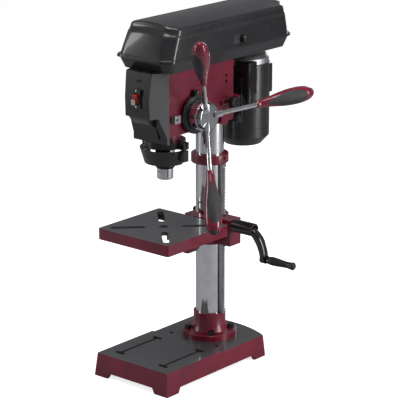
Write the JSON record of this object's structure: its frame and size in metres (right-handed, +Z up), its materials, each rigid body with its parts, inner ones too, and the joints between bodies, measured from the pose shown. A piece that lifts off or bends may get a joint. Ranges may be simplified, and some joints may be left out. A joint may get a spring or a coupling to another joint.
{
  "type": "benchtop drill press",
  "caption": "Benchtop drill press: base and column, geared tilting table on a crank, belt-driven head with quill, keyed chuck and lever feed.",
  "frame": {"origin": "the column's axis on the bench plane", "axes": "+Z up along the column, -Y towards the operator, +X towards the feed levers"},
  "size_m": [0.414, 0.545, 0.924],
  "materials": {
    "maroon_paint": "gloss",
    "grey_paint": "satin",
    "black_paint": "gloss",
    "black_plastic": "satin",
    "grey_plastic": "satin",
    "red_plastic": "gloss",
    "chrome": "mirror",
    "machined_steel": "machined",
    "black_steel": "black oxide",
    "cast_aluminium": "as cast",
    "cast_iron": "as cast",
    "belt_rubber": "matte",
    "maroon_plastic": "gloss"
  },
  "bodies": {
    "stand_and_head": {"base": "maroon_paint", "column_flange": "maroon_paint", "flange_bolts": "black_steel", "column": "chrome", "rack_collar": "maroon_paint", "set_screws": "black_steel", "head_casting": "maroon_paint", "front_cover": "black_plastic", "switch_body": "black_plastic", "depth_pointer": "machined_steel", "spring_housing": "black_plastic", "return_spring": "machined_steel", "pulley_bearings": "machined_steel", "belt_pan": "black_paint", "idler_pin": "machined_steel", "front_belt": "belt_rubber", "rear_belt": "belt_rubber", "guard_ring": "black_plastic"},
    "quill": {"quill": "machined_steel", "quill_bearings": "machined_steel"},
    "spindle": {"spindle": "machined_steel", "chuck_body": "chrome"},
    "chuck_sleeve": {"chuck_sleeve": "black_steel"},
    "chuck_jaw_1": {"chuck_jaw_1": "machined_steel"},
    "chuck_jaw_2": {"chuck_jaw_2": "machined_steel"},
    "chuck_jaw_3": {"chuck_jaw_3": "machined_steel"},
    "feed": {"pinion_shaft": "machined_steel", "feed_hub": "chrome", "lever_rods": "chrome", "lever_grips": "maroon_plastic", "spring_nuts": "machined_steel"},
    "depth_stop": {"depth_ring": "black_plastic"},
    "depth_lock": {"depth_lock_knob": "black_plastic"},
    "front_pulley": {"spindle_pulley": "cast_aluminium"},
    "middle_pulley": {"idler_pulley": "cast_aluminium"},
    "motor_frame": {"motor_housing": "black_paint", "motor_bell": "cast_aluminium", "motor_fan_cover": "black_paint", "motor_stator": "cast_iron", "motor_plate": "black_paint", "slide_rods": "machined_steel", "junction_box": "black_plastic", "capacitor_cover": "black_plastic", "cord_gland": "black_plastic"},
    "motor_rotor": {"motor_rotor": "machined_steel", "motor_pulley": "cast_aluminium"},
    "tension_lock": {"tension_knob": "black_plastic"},
    "belt_lid": {"belt_cover": "black_paint", "cover_knob": "black_plastic"},
    "chuck_guard": {"guard_shield": "black_plastic"},
    "switch_paddle": {"switch_paddle": "red_plastic"},
    "rack": {"rack": "machined_steel"},
    "table_bracket": {"table_bracket": "maroon_paint", "tilt_bolt": "black_steel"},
    "table": {"table": "maroon_paint"},
    "table_clamp": {"clamp_lever": "maroon_paint"},
    "lift_gear": {"lift_gear": "machined_steel"},
    "crank": {"crank_shaft": "machined_steel", "crank_arm": "black_paint"},
    "crank_handle": {"crank_grip": "black_plastic"}
  },
  "joints": [
    {"name": "quill_feed", "type": "slide", "parent": "stand_and_head", "child": "quill", "axis": [0, 0, 1], "range_m": [-0.08, 0], "stiffness_N_per_m": 260, "springref_m": 0.35},
    {"name": "feed_turn", "type": "hinge", "parent": "stand_and_head", "child": "feed", "pos_m": [0, -0.1325, 0.686], "axis": [1, 0, 0], "range_deg": [0, 287.48]},
    {"name": "depth_stop_turn", "type": "hinge", "parent": "stand_and_head", "child": "depth_stop", "pos_m": [0, -0.1325, 0.686], "axis": [1, 0, 0], "range_deg": [0, 300]},
    {"name": "depth_lock_turn", "type": "hinge", "parent": "depth_stop", "child": "depth_lock", "pos_m": [0.067, -0.1325, 0.686], "axis": [0, 0, 1], "range_deg": [-180, 180]},
    {"name": "motor_spin", "type": "hinge", "parent": "motor_frame", "child": "motor_rotor", "pos_m": [0, 0.134, 0.7], "axis": [0, 0, 1], "continuous": true},
    {"name": "middle_pulley_spin", "type": "hinge", "parent": "stand_and_head", "child": "middle_pulley", "pos_m": [0, -0.024, 0.85], "axis": [0, 0, 1], "continuous": true},
    {"name": "front_pulley_spin", "type": "hinge", "parent": "stand_and_head", "child": "front_pulley", "pos_m": [0, -0.1735, 0.85], "axis": [0, 0, 1], "continuous": true},
    {"name": "spindle_spin", "type": "hinge", "parent": "quill", "child": "spindle", "pos_m": [0, -0.1735, 0.7], "axis": [0, 0, 1], "continuous": true},
    {"name": "chuck_sleeve_turn", "type": "hinge", "parent": "spindle", "child": "chuck_sleeve", "pos_m": [0, -0.1735, 0.546], "axis": [0, 0, 1], "range_deg": [0, 2520]},
    {"name": "jaw_1_slide", "type": "slide", "parent": "spindle", "child": "chuck_jaw_1", "axis": [0, -0.1392, -0.9903], "range_m": [0, 0.014]},
    {"name": "jaw_2_slide", "type": "slide", "parent": "spindle", "child": "chuck_jaw_2", "axis": [0.1205, 0.0696, -0.9903], "range_m": [0, 0.014]},
    {"name": "jaw_3_slide", "type": "slide", "parent": "spindle", "child": "chuck_jaw_3", "axis": [-0.1205, 0.0696, -0.9903], "range_m": [0, 0.014]},
    {"name": "motor_slide", "type": "slide", "parent": "stand_and_head", "child": "motor_frame", "axis": [0, 1, 0], "range_m": [-0.008, 0]},
    {"name": "tension_lock_turn", "type": "hinge", "parent": "stand_and_head", "child": "tension_lock", "pos_m": [0, 0.006, 0.692], "axis": [1, 0, 0], "range_deg": [-180, 180]},
    {"name": "belt_lid_hinge", "type": "hinge", "parent": "stand_and_head", "child": "belt_lid", "pos_m": [-0.098, 0, 0.8406], "axis": [0, -1, 0], "range_deg": [0, 100]},
    {"name": "chuck_guard_swing", "type": "hinge", "parent": "stand_and_head", "child": "chuck_guard", "pos_m": [-0.066, -0.1735, 0.6], "axis": [0, 0, 1], "range_deg": [-110, 0]},
    {"name": "switch_rock", "type": "hinge", "parent": "stand_and_head", "child": "switch_paddle", "pos_m": [0, -0.2765, 0.741], "axis": [1, 0, 0], "range_deg": [0, 12]},
    {"name": "table_swing", "type": "hinge", "parent": "stand_and_head", "child": "rack", "pos_m": [0, 0, 0.35], "axis": [0, 0, 1], "continuous": true},
    {"name": "table_lift", "type": "slide", "parent": "rack", "child": "table_bracket", "axis": [0, 0, 1], "range_m": [-0.18, 0.06]},
    {"name": "table_tilt", "type": "hinge", "parent": "table_bracket", "child": "table", "pos_m": [0, -0.066, 0.335], "axis": [0, 1, 0], "range_deg": [-45, 45]},
    {"name": "table_clamp_turn", "type": "hinge", "parent": "table_bracket", "child": "table_clamp", "pos_m": [-0.06, 0, 0.352], "axis": [0, 1, 0], "range_deg": [-60, 0]},
    {"name": "crank_turn", "type": "hinge", "parent": "table_bracket", "child": "crank", "pos_m": [0, -0.015, 0.376], "axis": [1, 0, 0], "range_deg": [-6880.5, 2296.8]},
    {"name": "lift_gear_turn", "type": "hinge", "parent": "table_bracket", "child": "lift_gear", "pos_m": [0.059, 0, 0.352], "axis": [0, 1, 0], "range_deg": [-296, 869]},
    {"name": "crank_handle_spin", "type": "hinge", "parent": "crank", "child": "crank_handle", "pos_m": [0, -0.015, 0.306], "axis": [1, 0, 0], "continuous": true}
  ],
  "couplings": [
    {"joint": "feed_turn", "follows": "quill_feed", "rad_per_m": -62.5},
    {"joint": "middle_pulley_spin", "follows": "motor_spin", "ratio": 0.78261},
    {"joint": "front_pulley_spin", "follows": "motor_spin", "ratio": 0.61248},
    {"joint": "spindle_spin", "follows": "motor_spin", "ratio": 0.61248},
    {"joint": "jaw_1_slide", "follows": "chuck_sleeve_turn", "m_per_rad": 0.00031831},
    {"joint": "jaw_2_slide", "follows": "chuck_sleeve_turn", "m_per_rad": 0.00031831},
    {"joint": "jaw_3_slide", "follows": "chuck_sleeve_turn", "m_per_rad": 0.00031831},
    {"joint": "crank_turn", "follows": "table_lift", "rad_per_m": 666.67},
    {"joint": "lift_gear_turn", "follows": "table_lift", "rad_per_m": -83.333}
  ]
}
